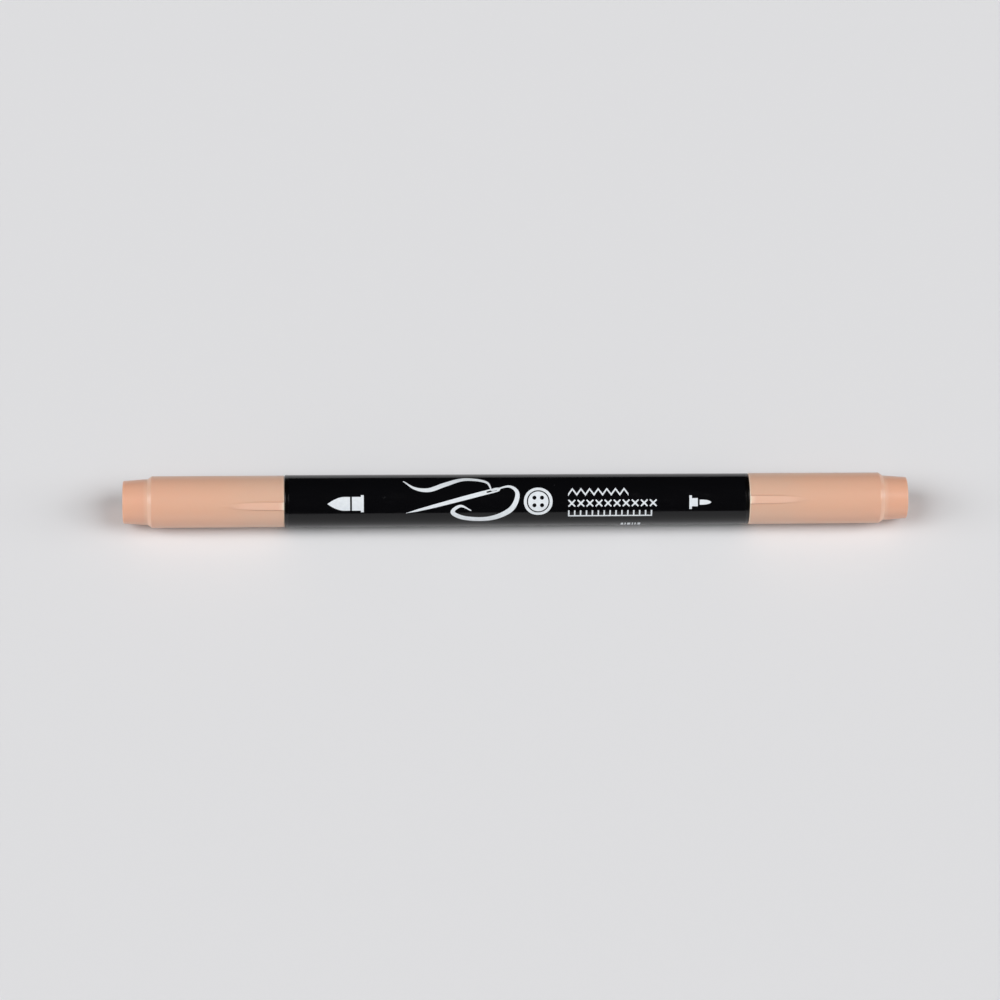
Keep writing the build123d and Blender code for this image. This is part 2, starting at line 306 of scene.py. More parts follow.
def natural_plastic():
    """Uncoloured polyethylene of the inner caps, milky and waxy."""
    made = new_material("natural_polyethylene", (0.80, 0.79, 0.74), roughness=0.42, IOR=1.51,
                        Subsurface_Weight=0.35, Subsurface_Scale=0.002)
    tone = mix_color(made, noise(made, scale=200, detail=3), (0.80, 0.79, 0.745), (0.74, 0.72, 0.66))
    link(made, tone, principled(made).inputs["Base Color"])
    add_bump(made, noise(made, scale=1800, detail=3), distance=0.008)
    return made


def inked_fibre(name, dry, wet, along):
    """Bonded fibre soaked with peach ink; along, below 1, draws its strands out along the pen."""
    made = new_material(name, dry, roughness=0.85, Sheen_Weight=0.25, Sheen_Roughness=0.5)
    strands = noise(made, scale=5200, detail=5, roughness=0.65, stretch=(along, 1, 1))
    blotch = noise(made, scale=420, detail=3)
    tone = mix_color(made, remap(made, strands, 0.35, 0.65), dry, wet)
    deep = mix_color(made, remap(made, blotch, 0.4, 0.7, 0, 0.35), tone, wet)
    link(made, deep, principled(made).inputs["Base Color"])
    add_bump(made, strands, distance=0.05)
    return made


def clear_film():
    """Thin film on the ink reservoir, with the ink's colour showing through it."""
    made = new_material("reservoir_film", (0.80, 0.66, 0.58), roughness=0.25, IOR=1.5)
    add_bump(made, noise(made, scale=260, detail=3, stretch=(0.2, 1, 1)), distance=0.03)
    return made


def white_ink():
    """Screen-printed white with slightly uneven cover."""
    made = new_material("white_screen_ink", (0.74, 0.78, 0.81), roughness=0.42, IOR=1.45)
    cover = noise(made, scale=1300, detail=4)
    tone = mix_color(made, remap(made, cover, 0.3, 0.75), (0.77, 0.81, 0.845), (0.69, 0.73, 0.765))
    link(made, tone, principled(made).inputs["Base Color"])
    add_bump(made, cover, distance=0.002)
    return made


# =============================================================== outlines and turned shapes
def rounded(points, steps=5):
    """Outline through (x, r, fillet radius) corners. Each filleted corner becomes an arc, with a point
    close beside it on both flats, so that smooth shading doesn't run out over them."""
    outline = []
    count = len(points)
    for i, (x, r, fillet) in enumerate(points):
        here = np.array((x, r))
        if fillet <= 0:
            outline.append(tuple(here))
            continue
        before, after = (np.array(points[k % count][:2]) - here for k in (i - 1, i + 1))
        room = min(np.linalg.norm(before), np.linalg.norm(after))
        before, after = before / np.linalg.norm(before), after / np.linalg.norm(after)
        half = math.acos(float(np.clip(before @ after, -1, 1))) / 2
        reach = fillet / math.tan(half)
        beside = reach + min(0.2 * fillet, 0.2 * (room - reach))
        middle = before + after
        centre = here + middle / np.linalg.norm(middle) * fillet / math.sin(half)
        start, end = here + before * reach - centre, here + after * reach - centre
        sweep = math.atan2(start[0] * end[1] - start[1] * end[0], start @ end)
        outline.append(tuple(here + before * beside))
        for k in range(steps + 1):
            turn = sweep * k / steps
            spun = (start[0] * math.cos(turn) - start[1] * math.sin(turn),
                    start[0] * math.sin(turn) + start[1] * math.cos(turn))
            outline.append(tuple(centre + spun))
        outline.append(tuple(here + after * beside))
    return outline


def divided(outline, longest, low=-math.inf, high=math.inf):
    """The outline with its stretches between two x values cut to at most that length."""
    result = []
    for a, b in zip(outline, outline[1:] + outline[:1]):
        result.append(a)
        middle = (a[0] + b[0]) / 2
        gap = math.dist(a, b)
        if low <= middle <= high and gap > longest:
            pieces = math.ceil(gap / longest)
            for k in range(1, pieces):
                share = k / pieces
                result.append((a[0] + (b[0] - a[0]) * share, a[1] + (b[1] - a[1]) * share))
    return result


def even_angles(count):
    return [2 * math.pi * i / count for i in range(count)]


def refined_angles(count, centres, reach, step):
    """Even angles round the pen, and closer ones within reach of each centre."""
    angles = [a for a in even_angles(count) if off_nearest(a, centres) > reach]
    for centre in centres:
        pieces = math.ceil(2 * reach / step)
        angles += [(centre - reach + 2 * reach * k / pieces) % (2 * math.pi) for k in range(pieces + 1)]
    return sorted(angles)


def turned(name, end, outline, angles, material, body, lift=None, marks=None):
    """A closed turned solid from (out, radius) points in millimetres. out is measured from the barrel's
    end face at "brush" or "bullet", or is plain x where end is None. lift(out, r, angle) moves a point
    outwards, and marks maps names of vertex attributes to their functions of the same three values."""
    start, way = {"brush": (BRUSH_END_X, -1), "bullet": (BULLET_END_X, 1), None: (0, 1)}[end]
    verts, faces, rings = [], [], []
    values = {mark: [] for mark in marks or {}}
    for out, r in outline:
        on_axis = r < 1e-6
        ring = []
        for angle in ([0.0] if on_axis else angles):
            radius = r + (lift(out, r, angle) if lift and not on_axis else 0)
            ring.append(len(verts))
            verts.append(((start + way * out) * MM, radius * math.sin(angle) * MM,
                          (AXIS_Z + radius * math.cos(angle)) * MM))
            for mark in values:
                values[mark].append(marks[mark](out, r, angle))
        rings.append(ring)
    for a, b in zip(rings, rings[1:] + rings[:1]):
        if len(a) == 1 and len(b) == 1:
            continue
        for k in range(len(angles)):
            n = (k + 1) % len(angles)
            corners = [a[k % len(a)], a[n % len(a)], b[n % len(b)], b[k % len(b)]]
            faces.append([v for i, v in enumerate(corners) if v not in corners[:i]])
    return finish_mesh(name, verts, faces, material, body, values=values)


def off_nearest(angle, centres):
    """The angle between here and the nearest of the centres, round the pen."""
    return min(abs(math.remainder(angle - centre, 2 * math.pi)) for centre in centres)


def finish_mesh(name, verts, faces, material, body, sharp=40, values=None):
    """A smooth-shaded piece on its body, with edges over sharp degrees kept crisp."""
    mesh = bpy.data.meshes.new(name)
    mesh.from_pydata(verts, [], faces)
    shape = bmesh.new()
    shape.from_mesh(mesh)
    bmesh.ops.recalc_face_normals(shape, faces=shape.faces)
    for face in shape.faces:
        face.smooth = True
    for edge in shape.edges:
        edge.smooth = edge.calc_face_angle(0) < math.radians(sharp)
    shape.to_mesh(mesh)
    shape.free()
    for mark in values or {}:
        mesh.attributes.new(mark, "FLOAT", "POINT").data.foreach_set("value", values[mark])
    mesh.materials.append(material)
    piece = bpy.data.objects.new(name, mesh)
    bpy.context.scene.collection.objects.link(piece)
    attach(piece, body)
    return piece


def smooth(value):
    """0 to 1 with a soft start and end, as the value goes from 0 to 1."""
    value = min(1.0, max(0.0, value))
    return value * value * (3 - 2 * value)


# =============================================================== barrel
TAPER_START_R, TAPER_END_R = 5.41, 5.22    # at the brush end and at the bullet end
BARREL_BORE = 4.35
BARREL_RIB_FROM = 12.3                 # the inner ribs start past the holders' skirts
BARREL_RIB_HIGH, BARREL_RIB_HALF = 0.3, 0.42
BORE_STEP = 0.05                       # the points past it carry the ribs
FILM_THICK = 0.08
FILM_EDGE_GAP = 0.03                   # hairline between the film and the barrel's rims
FILM_LAP_ANGLE = math.radians(205)     # where the film's ends overlap, underneath
FILM_LAP_WIDE, FILM_LAP_HIGH = 3.0, 0.03
FILM_LAP_EDGE, FILM_LAP_SLOPE = 0.015, 0.35    # radians over which its two sides rise


def film_radius(x):
    """Outer radius of the tapered barrel, which the film lies flush with."""
    share = (x - BRUSH_END_X) / (BULLET_END_X - BRUSH_END_X)
    return TAPER_START_R + share * (TAPER_END_R - TAPER_START_R)


def make_barrel(plastic):
    """The tube, with a shallow recess for the film and four ribs inside that hold the reservoir."""
    bore, ribbed = BARREL_BORE, BARREL_BORE - 0.001
    low, high = FILM_LOW.x / MM, FILM_HIGH.x / MM
    outline = rounded([
        (BRUSH_END_X, bore, 0.08), (BRUSH_END_X, TAPER_START_R, 0.15),
        (low, film_radius(low), 0.02), (low, film_radius(low) - FILM_THICK, 0),
        (high, film_radius(high) - FILM_THICK, 0), (high, film_radius(high), 0.02),
        (BULLET_END_X, TAPER_END_R, 0.15), (BULLET_END_X, bore, 0.08),
        (BULLET_END_X - BARREL_RIB_FROM, bore, 0), (BULLET_END_X - BARREL_RIB_FROM - BORE_STEP, ribbed, 0),
        (BRUSH_END_X + BARREL_RIB_FROM + BORE_STEP, ribbed, 0), (BRUSH_END_X + BARREL_RIB_FROM, bore, 0),
    ])
    ribs = [math.radians(45 + 90 * k) for k in range(4)]

    def inner_rib(x, r, angle):
        on_rib = r < (bore + ribbed) / 2 and off_nearest(angle, ribs) * bore < BARREL_RIB_HALF
        return -BARREL_RIB_HIGH if on_rib else 0.0

    angles = refined_angles(120, ribs, math.radians(7), math.radians(1.8))
    piece = turned("barrel_moulding", None, outline, angles, plastic, "barrel", lift=inner_rib)
    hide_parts("barrel_tube")


def make_film(film):
    """The printed sleeve in its recess, with its ends lapped underneath."""
    low, high = FILM_LOW.x / MM + FILM_EDGE_GAP, FILM_HIGH.x / MM - FILM_EDGE_GAP
    deep = FILM_THICK - 0.004                            # just clear of the barrel
    outline = rounded([
        (low, film_radius(low) - deep, 0), (low, film_radius(low), 0.02),
        (high, film_radius(high), 0.012), (high, film_radius(high) - deep, 0),
    ], steps=3)
    outline = divided(outline, 2.0)
    reach = FILM_LAP_WIDE / 2 / 5.2                      # the lap's half width as an angle

    def lap(x, r, angle):
        if r < film_radius(x) - FILM_THICK / 2:
            return 0.0
        off = math.remainder(angle - FILM_LAP_ANGLE, 2 * math.pi)
        edge, slope = smooth((reach - off) / FILM_LAP_EDGE), smooth((off + reach) / FILM_LAP_SLOPE)
        return FILM_LAP_HIGH * edge * slope

    angles = refined_angles(192, [FILM_LAP_ANGLE + reach, FILM_LAP_ANGLE - reach * 0.5],
                            math.radians(4), math.radians(0.4))
    piece = turned("printed_film", None, outline, angles, film, "barrel", lift=lap)
    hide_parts("label_film")


# =============================================================== caps
# radii, and distances out from the barrel's end face; spear is the anti-roll rib's turn to the front
CAP = {
    "brush": {"mouth_r": 5.30, "step_r": 5.32, "body": 27.3, "bevel": 0.8, "root_r": 4.73, "end_r": 4.37,
              "long": 33.2, "bore": 4.6, "spigot_bore": 3.6, "land": 3.45, "spear": 42.9},
    "bullet": {"mouth_r": 5.28, "step_r": 5.22, "body": 27.1, "bevel": 0.9, "root_r": 4.6, "end_r": 4.25,
               "long": 32.9, "bore": 4.53, "spigot_bore": 3.55, "land": 3.3, "spear": 34.6},
}
SEAM = 0.06                            # between the barrel's end face and the cap's mouth
SNAP_OUT = 5.9                         # middle of the snap ridge and of its groove in the cap
LIP = 0.22                             # rounded edge round the cap's mouth
OUTER_WALL = 0.31                      # depth from the mouth's radius that counts as the outer wall
SPEAR_LONG, SPEAR_HALF, SPEAR_HIGH = 11.6, 0.9, 0.35   # the anti-roll rib, widest at the mouth
SPEAR_SIDE = 0.18                      # width of its sloping sides
CREASE_OFF, CREASE_HALF = 0.04, 0.13   # the painted shade line along its foot
STEP_HIGHLIGHT, STEP_HIGHLIGHT_HALF = 0.18, 0.6  # painted highlight ring round the shoulder: its strength and half width
MOUTH_HIGHLIGHT = 0.45                      # painted highlight on the mouth's edge away from the rib; at the rib it is 1


def spear_angle(end):
    """The rib's angle round the pen from the top, positive towards +Y."""
    return math.radians(-CAP[end]["spear"])


def spear_half(out):
    """Half the anti-roll rib's width at a distance from the barrel's end."""
    share = min(1.0, max(0.0, out / SPEAR_LONG))
    return SPEAR_HALF * math.sqrt(1 - share ** 3.4)


def spear_off(end, angle):
    """Distance round the cap from the rib's middle line."""
    return abs(math.remainder(angle - spear_angle(end), 2 * math.pi)) * CAP[end]["mouth_r"]


def on_spear(end, out, r):
    return SEAM <= out <= SPEAR_LONG and r >= CAP[end]["mouth_r"] - OUTER_WALL


def spear_crease_shade(end, out, r, angle):
    """Strength of the painted shade in the crease along the rib's foot."""
    if not on_spear(end, out, r):
        return 0.0
    away = abs(spear_off(end, angle) - spear_half(out) - CREASE_OFF) / CREASE_HALF
    return smooth(1 - away) * smooth((SPEAR_LONG - out) / SPEAR_LONG * 2)


def spear_side(end, out, r, angle):
    """1 across the anti-roll rib's crown, falling to 0 down its sloping sides."""
    if not on_spear(end, out, r):
        return 0.0
    return smooth((spear_half(out) - spear_off(end, angle)) / SPEAR_SIDE)


def spear_height(end, out, r, angle):
    """How far the anti-roll rib stands out at a point of the cap's outer wall."""
    crown = 1 - 0.10 * (spear_off(end, angle) / SPEAR_HALF) ** 2
    high = SPEAR_HIGH * (1 - 0.7 * out / SPEAR_LONG)
    start = smooth((out - SEAM) / LIP)
    return high * spear_side(end, out, r, angle) * crown * start


def make_cap(end, plastic):
    """The shell: body, shoulder and posting spigot, with the anti-roll rib and the snap groove."""
    cap = CAP[end]
    tip, mouth_r, bore = cap["long"], cap["mouth_r"], cap["bore"]
    shoulder, wall_in = cap["body"] + cap["bevel"], cap["body"] - 0.7
    inner_end, gate = tip - 1.0, tip - 0.12              # gate: floor of the moulding mark in the end
    groove = bore + 0.1
    outline = rounded([
        (SEAM, bore + 0.25, 0.05), (SEAM, mouth_r, LIP), (cap["body"], cap["step_r"], 0.35),
        (shoulder, cap["root_r"], 0.12), (tip, cap["end_r"], 0.25),
        (tip, 1.15, 0.04), (gate, 1.05, 0.05), (gate, 0.42, 0.03),
        (tip - 0.04, 0.36, 0.04), (tip - 0.05, 0.0, 0),
        (inner_end, 0.0, 0), (inner_end, cap["spigot_bore"], 0.3), (wall_in, cap["spigot_bore"], 0.15),
        (wall_in, bore, 0.2), (SNAP_OUT + 1.0, bore, 0), (SNAP_OUT + 0.5, groove, 0),
        (SNAP_OUT - 0.5, groove, 0), (SNAP_OUT - 1.0, bore, 0), (SEAM + 0.25, bore, 0),
    ])
    outline = divided(outline, 0.1, SEAM - 0.01, SPEAR_LONG + 0.3)
    outline = divided(outline, 1.0)
    angles = refined_angles(144, [spear_angle(end)], (SPEAR_HALF + 0.25) / mouth_r, math.radians(0.45))

    def raised(out, r, angle):
        return spear_height(end, out, r, angle)

    def rib_highlight_and_shade(out, r, angle):
        """Painted light on the rib: 1 is the painted highlight across its crown, falling to -1 for the
        painted shade in the crease along its foot.
        """
        fade = smooth((SPEAR_LONG - out) / SPEAR_LONG * 3)
        return spear_side(end, out, r, angle) * fade - spear_crease_shade(end, out, r, angle)

    def painted_edge_highlight(out, r, angle):
        """Painted highlight on the mouth's edge, strongest at the rib's end, and a painted highlight ring
        at the shoulder.
        """
        off_step = abs(out - shoulder + 0.3)
        if r > cap["end_r"] and off_step < STEP_HIGHLIGHT_HALF:
            return STEP_HIGHLIGHT * smooth((STEP_HIGHLIGHT_HALF - off_step) / 0.3)
        if r < mouth_r - LIP:
            return 0.0
        at_rib = smooth((SPEAR_HALF + 0.05 - spear_off(end, angle)) / 0.25)
        edge = smooth((SEAM + LIP * (1 + 0.4 * at_rib) - out) / LIP * 2)
        return edge * (MOUTH_HIGHLIGHT + (1 - MOUTH_HIGHLIGHT) * at_rib)

    piece = turned(f"{end}_cap_moulding", end, outline, angles, plastic, f"{end}_cap",
                   lift=raised, marks={"rib_highlight_and_shade": rib_highlight_and_shade, "painted_edge_highlight": painted_edge_highlight})
    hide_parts(f"{end}_cap_shell")


def make_liner(end, plastic):
    """The inner cap: its lip seals round the holder's land, and its fins centre it in the shell."""
    cap = CAP[end]
    inner = cap["land"] + 0.2
    outer, tail_r = inner + 0.45, cap["spigot_bore"] - 0.04
    shoulder, tail_end = cap["body"] - 1.1, cap["long"] - 1.4
    step, floor, well_r = shoulder - 0.45, tail_end - 0.8, 3.1
    mouth, lip, collar = 8.4, cap["land"] + 0.03, 9.4    # collar: where the plain rim ends
    outline = rounded([
        (mouth, inner, 0.1), (mouth, outer, 0.15), (collar, outer, 0), (collar + 0.02, outer, 0),
        (shoulder, outer, 0.1), (shoulder, tail_r, 0.1), (tail_end, tail_r, 0.25), (tail_end, 0.0, 0),
        (floor, 0.0, 0), (floor, well_r, 0.4), (step, well_r, 0.1), (step, inner, 0.1),
        (mouth + 1.6, inner, 0), (mouth + 1.2, lip, 0.15), (mouth + 0.8, lip, 0.15),
    ])
    outline = divided(outline, 1.5)
    fins = [math.radians(60 * k + 90) for k in range(6)]
    fin_high = cap["bore"] - 0.07 - outer

    def fin(out, r, angle):
        if abs(r - outer) > 0.02 or out < collar + 0.01 or out > shoulder - 0.15:
            return 0.0
        return fin_high * smooth((0.4 - off_nearest(angle, fins) * outer) / 0.1)

    angles = refined_angles(96, fins, math.radians(7.5), math.radians(0.9))
    piece = turned(f"{end}_liner_moulding", end, outline, angles, plastic, f"{end}_cap_liner", lift=fin)
    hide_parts(f"{end}_cap_liner")


# =============================================================== nibs and their holders
# radii, and how far the nose and the ferrule reach out from the barrel's end face
HOLDER = {
    "brush": {"collar": 4.53, "land": 3.45, "nose_r": 3.0, "nose": 12.9, "ferrule_r": 2.5, "ferrule": 15.0,
              "nib": 1.9, "vent": 2.2},
    "bullet": {"collar": 4.46, "land": 3.3, "nose_r": 2.4, "nose": 14.6, "ferrule_r": 1.6, "ferrule": 16.5,
               "nib": 1.1, "vent": 1.35},
}
SKIRT = 12.0                           # length of a holder's part inside the barrel
PLUG_R = BARREL_BORE - 0.005
WAIST_OUT = 5.0                        # the nib's narrow bore starts there
COLLAR_OUT = 8.0
TAIL_REAR = -SKIRT - 0.3 - 6.0         # a nib's tail ends in the reservoir


def make_holder(end, plastic):
    """The plug that holds a nib: skirt, collar with its snap ridge, sealing land, nose and ferrule."""
    sizes = HOLDER[end]
    collar, land, nose, ferrule, bore = (sizes[key] for key in ("collar", "land", "nose", "ferrule", "nib"))
    ridge = collar + 0.04
    outline = rounded([
        (-SKIRT, 3.6, 0.05), (-SKIRT, BARREL_BORE - 0.2, 0.05), (-SKIRT + 0.6, PLUG_R, 0),
        (-0.02, PLUG_R, 0), (0.01, collar, 0.0), (SNAP_OUT - 0.8, collar, 0.3),
        (SNAP_OUT - 0.3, ridge, 0.3), (SNAP_OUT + 0.3, ridge, 0.3), (SNAP_OUT + 0.8, collar, 0.3),
        (COLLAR_OUT - 0.35, collar, 0.1), (COLLAR_OUT, collar - 0.35, 0.1), (COLLAR_OUT, land, 0.15),
        (SKIRT, land, 0.2), (nose, sizes["nose_r"], 0.12), (nose, sizes["ferrule_r"], 0.1),
        (ferrule, sizes["ferrule_r"], 0.2), (ferrule, bore, 0.06),
        (WAIST_OUT + 0.01, bore, 0), (WAIST_OUT, 3.6, 0.2),
    ])
    outline = divided(outline, 1.5)
    vents = [math.radians(120 * k + 150) for k in range(3)]

    def vent(out, r, angle):
        """Air grooves along the nib's bore."""
        if r > bore + 0.08 or out < WAIST_OUT + 0.005:
            return 0.0
        return (sizes["vent"] - bore) * smooth((0.28 - off_nearest(angle, vents) * bore) / 0.06)

    reach = 0.4 / bore
    angles = refined_angles(120, vents, reach, reach / 12)
    piece = turned(f"{end}_holder_moulding", end, outline, angles, plastic, "barrel", lift=vent)
    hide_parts(f"{end}_nib_holder")


def nib_tail(radius, tail_radius):
    """The hidden part of a nib, from its end in the reservoir up to its ferrule."""
    return [(TAIL_REAR, 0.0), (TAIL_REAR, tail_radius - 0.3), (TAIL_REAR + 1.2, tail_radius),
            (4.0, tail_radius), (WAIST_OUT, radius)]


def make_brush_nib(felt):
    ferrule = HOLDER["brush"]["ferrule"]
    start, tip, radius = ferrule + 1.2, 24.5, HOLDER["brush"]["nib"] - 0.01
    outline = nib_tail(radius, 1.6) + [(start, radius)]
    long, blunt_r = tip - start, 0.168
    rho = (long ** 2 + radius ** 2) / (2 * radius)       # tangent ogive
    for k in range(1, 29):                               # closer together towards the tip
        out = start + long * math.sin(math.pi / 2 * k / 28.5) * 0.992
        r = math.sqrt(rho ** 2 - (out - start) ** 2) - rho + radius
        if r > blunt_r:
            outline.append((out, r))
    last_out, last_r = outline[-1]
    for k in range(1, 6):
        turn = math.pi / 2 * k / 6
        outline.append((last_out + (tip - last_out) * math.sin(turn), last_r * math.cos(turn)))
    outline.append((tip, 0.0))
    outline = divided(outline, 2.0)

    def fuzz(out, r, angle):
        """The uneven skin of cut felt."""
        if out < ferrule:
            return 0.0
        wave = math.sin(angle * 17 + out * 0.9) + 0.7 * math.sin(angle * 29 - out * 0.6 + 1.3)
        return 0.006 * wave * min(1.0, r)

    piece = turned("brush_tip", "brush", outline, even_angles(128), felt, "barrel", lift=fuzz)
    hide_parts("brush_nib")


def make_bullet_nib(felt):
    start, tip, radius = HOLDER["bullet"]["ferrule"] + 1.5, 20.4, HOLDER["bullet"]["nib"] - 0.01
    dome = 0.75
    outline = nib_tail(radius, radius) + [(start, radius)]
    top = tip - dome
    for k in range(1, 9):                                # the flank draws in as a gentle curve
        share = k / 8
        outline.append((start + (top - start) * share, radius + (dome - radius) * share ** 1.4))
    for k in range(1, 8):
        turn = math.pi / 2 * k / 8
        outline.append((top + dome * math.sin(turn), dome * math.cos(turn)))
    outline.append((tip, 0.0))
    outline = divided(outline, 2.0)
    piece = turned("bullet_tip", "bullet", outline, even_angles(112), felt, "barrel")
    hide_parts("bullet_nib")


# =============================================================== print on the film
LABEL_ANGLE = math.radians(-32)        # the artwork's middle line, round from the top towards -Y
INK_LIFT = INK_SINK = 0.012            # above and below the film's face
CUT = 0.22                             # width of the strips that let flat artwork bend round the barrel
PATH_STEPS = 24                        # pieces of a stroke between two of its points


def printed(name, polygons, ink):
    """Wraps flat (x, v) polygons round the film as thin closed slabs; v runs up the artwork."""
    shape = bmesh.new()
    for polygon in polygons:
        shape.faces.new([shape.verts.new((x, v, 0)) for x, v in polygon])
    bmesh.ops.triangulate(shape, faces=[f for f in shape.faces if len(f.verts) > 4])
    bmesh.ops.remove_doubles(shape, verts=shape.verts, dist=1e-5)
    low = min(v.co.y for v in shape.verts)
    high = max(v.co.y for v in shape.verts)
    for k in range(1, int((high - low) / CUT) + 1):
        everything = shape.verts[:] + shape.edges[:] + shape.faces[:]
        bmesh.ops.bisect_plane(shape, geom=everything, plane_co=(0, low + k * CUT, 0), plane_no=(0, 1, 0))
    bmesh.ops.remove_doubles(shape, verts=shape.verts, dist=1e-5)
    bmesh.ops.triangulate(shape, faces=[f for f in shape.faces if len(f.verts) > 4])
    bmesh.ops.recalc_face_normals(shape, faces=shape.faces)
    for face in shape.faces:
        if face.normal.z < 0:
            face.normal_flip()
    flat = [(v.co.x, v.co.y) for v in shape.verts]
    shape.verts.index_update()
    tops = [[v.index for v in f.verts] for f in shape.faces]
    rims = [(e.verts[0].index, e.verts[1].index) for e in shape.edges if len(e.link_faces) == 1]
    shape.free()
    count = len(flat)
    verts = []
    for rise in (INK_LIFT, -INK_SINK):
        for x, v in flat:
            radius = film_radius(x) + rise
            angle = LABEL_ANGLE + v / film_radius(x)
            verts.append((x * MM, radius * math.sin(angle) * MM, (AXIS_Z + radius * math.cos(angle)) * MM))
    faces = tops + [[i + count for i in reversed(f)] for f in tops]
    faces += [[a, b, b + count, a + count] for a, b in rims]
    finish_mesh(name, verts, faces, ink, "barrel", sharp=30)


def box_shape(x0, x1, v0, v1):
    return [(x0, v0), (x1, v0), (x1, v1), (x0, v1)]


def stroke(points, thin, swell):
    """Quads along a smooth path through the points, thin at its ends and wider by swell midway."""
    path = smooth_path(points)
    total = len(path) - 1
    sides = []
    for i, here in enumerate(path):
        ahead, behind = path[min(i + 1, total)], path[max(i - 1, 0)]
        along = np.array(ahead) - np.array(behind)
        normal = np.array((-along[1], along[0])) / np.linalg.norm(along)
        half = (thin + swell * math.sin(math.pi * (i / total)) ** 1.2) / 2
        sides.append((tuple(np.array(here) + normal * half), tuple(np.array(here) - normal * half)))
    return [[a[0], b[0], b[1], a[1]] for a, b in zip(sides, sides[1:])]


def smooth_path(points):
    """Catmull-Rom curve through the points."""
    ends = [tuple(2 * np.array(points[0]) - np.array(points[1]))] + list(points)
    ends.append(tuple(2 * np.array(points[-1]) - np.array(points[-2])))
    path = []
    for a, b, c, d in zip(ends, ends[1:], ends[2:], ends[3:]):
        a, b, c, d = (np.array(p, float) for p in (a, b, c, d))
        for k in range(PATH_STEPS):
            t = k / PATH_STEPS
            path.append(tuple(0.5 * (2 * b + (c - a) * t + (2 * a - 5 * b + 4 * c - d) * t ** 2
                                     + (3 * b - a - 3 * c + d) * t ** 3)))
    path.append(tuple(ends[-2]))
    return path


def ring(x, v, inner, outer):
    """A flat ring as quads."""
    around = even_angles(48)
    quads = []
    for a0, a1 in zip(around, around[1:] + around[:1]):
        corners = ((a0, inner), (a0, outer), (a1, outer), (a1, inner))
        quads.append([(x + r * math.cos(a), v + r * math.sin(a)) for a, r in corners])
    return quads


def print_brush_pictogram(ink):
    """Pointed brush nib, collar and flange."""
    middle, tip, shank, half = -0.62, -38.86, -34.21, 1.43
    long, arch = shank - tip, 0.75                       # the sides curve in over that share of it
    shares = [k / 20 for k in range(21)]
    upper = [(tip + long * s, half * (1 - max(0.0, 1 - s / arch) ** 1.8)) for s in shares]
    nib = [(x, middle - h) for x, h in upper] + [(x, middle + h) for x, h in reversed(upper[1:])]
    collar = box_shape(-33.83, -32.0, middle - half, middle + half)
    flange = box_shape(-32.0, -31.41, middle - 1.79, middle + 1.79)
    printed("brush_pictogram", [nib, collar, flange], ink)


def print_bullet_pictogram(ink):
    """Rounded bullet nib, collar and flange."""
    middle = -0.70
    flange = box_shape(35.43, 35.96, middle - 1.42, middle + 1.42)
    collar = box_shape(35.96, 37.17, middle - 0.85, middle + 0.85)
    base, tip, half = 37.55, 39.95, 0.53
    long = tip - base
    upper = [(base + long * k / 16, half * (1 - (k / 16) ** 3) ** 0.7) for k in range(17)]
    nib = [(x, middle - h) for x, h in upper] + [(x, middle + h) for x, h in reversed(upper[:-1])]
    printed("bullet_pictogram", [flange, collar, nib], ink)


def print_needle_and_thread(ink):
    """A plain sewing motif: a threaded needle and a round button."""
    tip, eye_end = np.array((-22.8, -2.7)), np.array((-3.4, 2.35))
    along = (eye_end - tip) / np.linalg.norm(eye_end - tip)
    across = np.array((-along[1], along[0]))
    long, half = float(np.linalg.norm(eye_end - tip)), 0.47

    def spot(share, side):
        return tuple(tip + along * long * share + across * side)

    shaft = [(0.0, 0.02), (0.12, 0.24), (0.3, 0.36), (0.6, 0.44), (0.855, half)]
    point = [spot(a, -w) for a, w in shaft] + [spot(a, w) for a, w in reversed(shaft)]
    slot, wall = (0.855, 0.965), 0.17
    sides = [[spot(slot[0], side * wall), spot(slot[0], side * half), spot(slot[1], side * half),
              spot(slot[1], side * wall)] for side in (1, -1)]
    crown = [(slot[1], half), (0.985, half * 0.8), (0.997, half * 0.4), (1.0, 0.0)]
    cap = [spot(a, -w) for a, w in crown] + [spot(a, w) for a, w in reversed(crown[:-1])]
    printed("needle_print", [point, *sides, cap], ink)

    eye = spot(0.91, 0)
    upper = [eye, (-6.4, 4.1), (-10.6, 4.9), (-14.6, 3.5), (-18.0, 2.2), (-21.0, 2.6), (-23.3, 4.4)]
    lower = [eye, (-1.6, 2.9), (0.1, 1.2), (-1.3, -2.0), (-5.6, -4.2), (-10.4, -4.1), (-13.2, -2.6),
             (-11.6, -1.2), (-9.4, -2.2)]
    printed("thread_upper_print", stroke(upper, 0.22, 0.80), ink)
    printed("thread_lower_print", stroke(lower, 0.22, 0.95), ink)

    x, v, hole_off = 4.35, -0.35, 0.78                   # the button's middle
    holes = [(x + hole_off * a, v + hole_off * b) for a in (-1, 1) for b in (-1, 1)]
    printed("button_rim_print", ring(x, v, 2.35, 2.95), ink)
    printed("button_face_print", button_face(x, v, 2.1, holes, 0.42), ink)


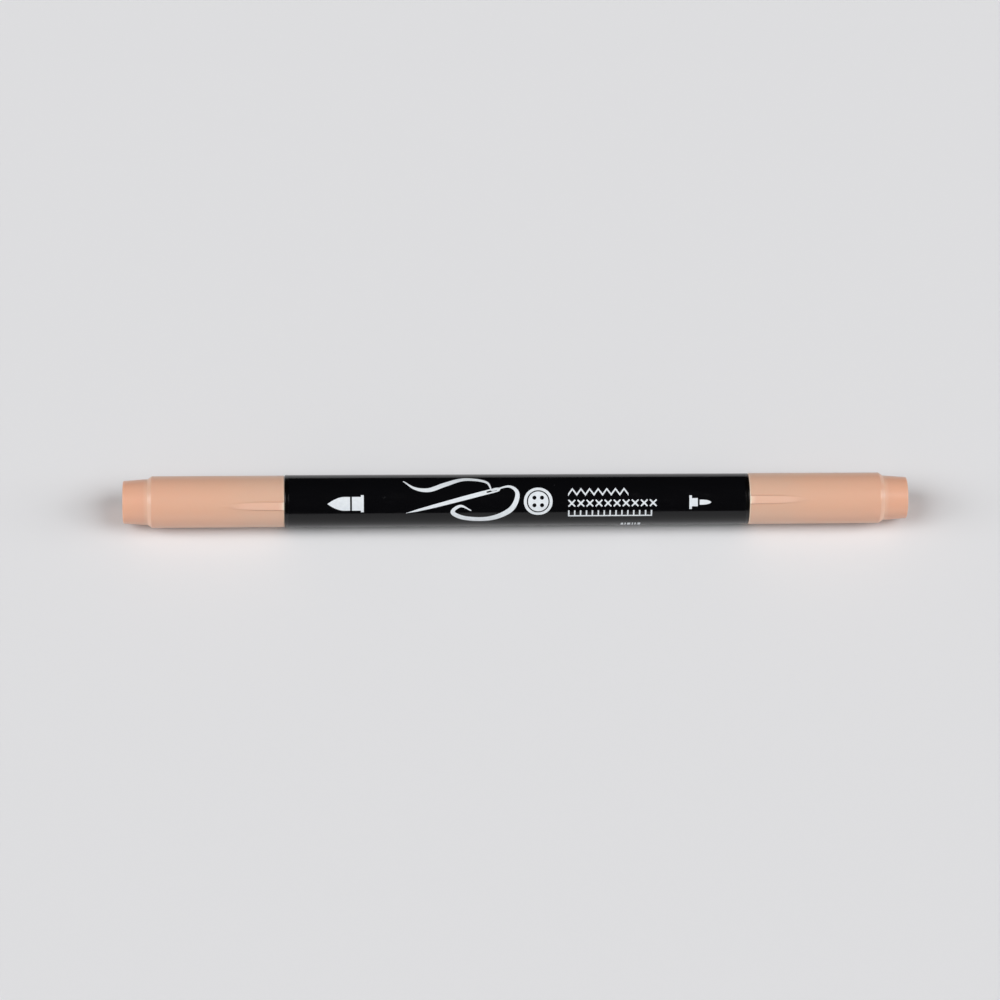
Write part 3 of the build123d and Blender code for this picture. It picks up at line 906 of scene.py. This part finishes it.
def button_face(x, v, radius, holes, hole_radius):
    """A disc with round holes, as small quads that leave the holes open."""
    shape = []
    for hx, hv in holes:
        toward = math.atan2(hv - v, hx - x)
        quarter = [toward - math.pi / 4 + math.pi / 2 * k / 12 for k in range(13)]
        arc = [(x + radius * math.cos(a), v + radius * math.sin(a)) for a in quarter]
        start, end = arc[0], arc[-1]
        border = [(x + (start[0] - x) * k / 6, v + (start[1] - v) * k / 6) for k in range(6)] + arc
        border += [(end[0] + (x - end[0]) * k / 6, end[1] + (v - end[1]) * k / 6) for k in range(1, 6)]
        turns = [math.atan2(py - hv, px - hx) for px, py in border]
        rim = [(hx + hole_radius * math.cos(t), hv + hole_radius * math.sin(t)) for t in turns]
        count = len(border)
        shape += [[border[k], border[(k + 1) % count], rim[(k + 1) % count], rim[k]] for k in range(count)]
    return shape


def zigzag(x0, x1, middle, high, count, thick):
    """A zigzag line as quads; thick is half its width up the artwork."""
    spots = []
    for k in range(count + 1):
        side = 1 if k % 2 else -1
        spots.append((x0 + (x1 - x0) * k / count, middle + high * side / 2))
    return [[(a[0], a[1] - thick), (b[0], b[1] - thick), (b[0], b[1] + thick), (a[0], a[1] + thick)]
            for a, b in zip(spots, spots[1:])]


def cross_stitch(x, v, reach, half):
    """One x-shaped stitch as a twelve-sided outline."""
    arm = [(reach, reach - half), (reach - half, reach), (0, half * 1.2)]
    outline = []
    for k in range(4):
        c, s = math.cos(math.pi / 2 * k), math.sin(math.pi / 2 * k)
        outline += [(x + a * c - b * s, v + a * s + b * c) for a, b in arm]
    return outline


def print_stitch_samples(ink):
    """Three rows of stitch samples: zigzag, cross stitch and blanket stitch."""
    left = 10.5
    printed("zigzag_stitch_print", zigzag(left, 22.9, 1.6, 1.25, 14, 0.26), ink)
    crosses = [cross_stitch(left + 0.75 + 1.86 * k, -0.76, 0.78, 0.2) for k in range(10)]
    printed("cross_stitch_print", crosses, ink)
    foot, top, pitch, wide, count = -3.75, -2.3, 1.215, 0.3, 15
    line = box_shape(left, left + pitch * (count - 1) + wide, foot, foot + wide)
    bars = [box_shape(left + pitch * k, left + pitch * k + wide, foot + wide, top) for k in range(count)]
    printed("blanket_stitch_print", [line, *bars], ink)


def print_lot_marks(ink):
    """A short row of plain bars low on the film, where a lot code would go."""
    foot, top = -7.6, -6.1
    bars = [(21.5, 0.5), (22.3, 0.25), (22.85, 0.6), (23.8, 0.25), (24.35, 0.25), (24.95, 0.6)]
    printed("lot_marks_print", [box_shape(x, x + wide, foot, top) for x, wide in bars], ink)


def main():
    bpy.context.scene.view_settings.view_transform = "Standard"
    make_camera()
    make_world()
    make_lights()
    make_floor()
    make_barrel(black_plastic("black_barrel_plastic", (0.0016, 0.0013, 0.0013), 0.16, 0.24, 0.001))
    make_film(gloss_film())
    holder_plastic = black_plastic("black_holder_plastic", (0.012, 0.012, 0.013), 0.30, 0.44, 0.006)
    liner_plastic = natural_plastic()
    for end in ENDS:
        make_cap(end, peach_plastic(end))
        make_liner(end, liner_plastic)
        make_holder(end, holder_plastic)
    felt = inked_fibre("inked_felt", (0.80, 0.44, 0.30), (0.66, 0.32, 0.20), 0.06)
    make_brush_nib(felt)
    make_bullet_nib(felt)
    rod_fibre = inked_fibre("inked_reservoir", (0.78, 0.42, 0.28), (0.62, 0.30, 0.19), 0.03)
    for name, material in (("ink_reservoir", rod_fibre), ("reservoir_film", clear_film())):
        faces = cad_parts[name].data
        faces.materials.clear()
        faces.materials.append(material)
    ink = white_ink()
    print_brush_pictogram(ink)
    print_bullet_pictogram(ink)
    print_needle_and_thread(ink)
    print_stitch_samples(ink)
    print_lot_marks(ink)


main()
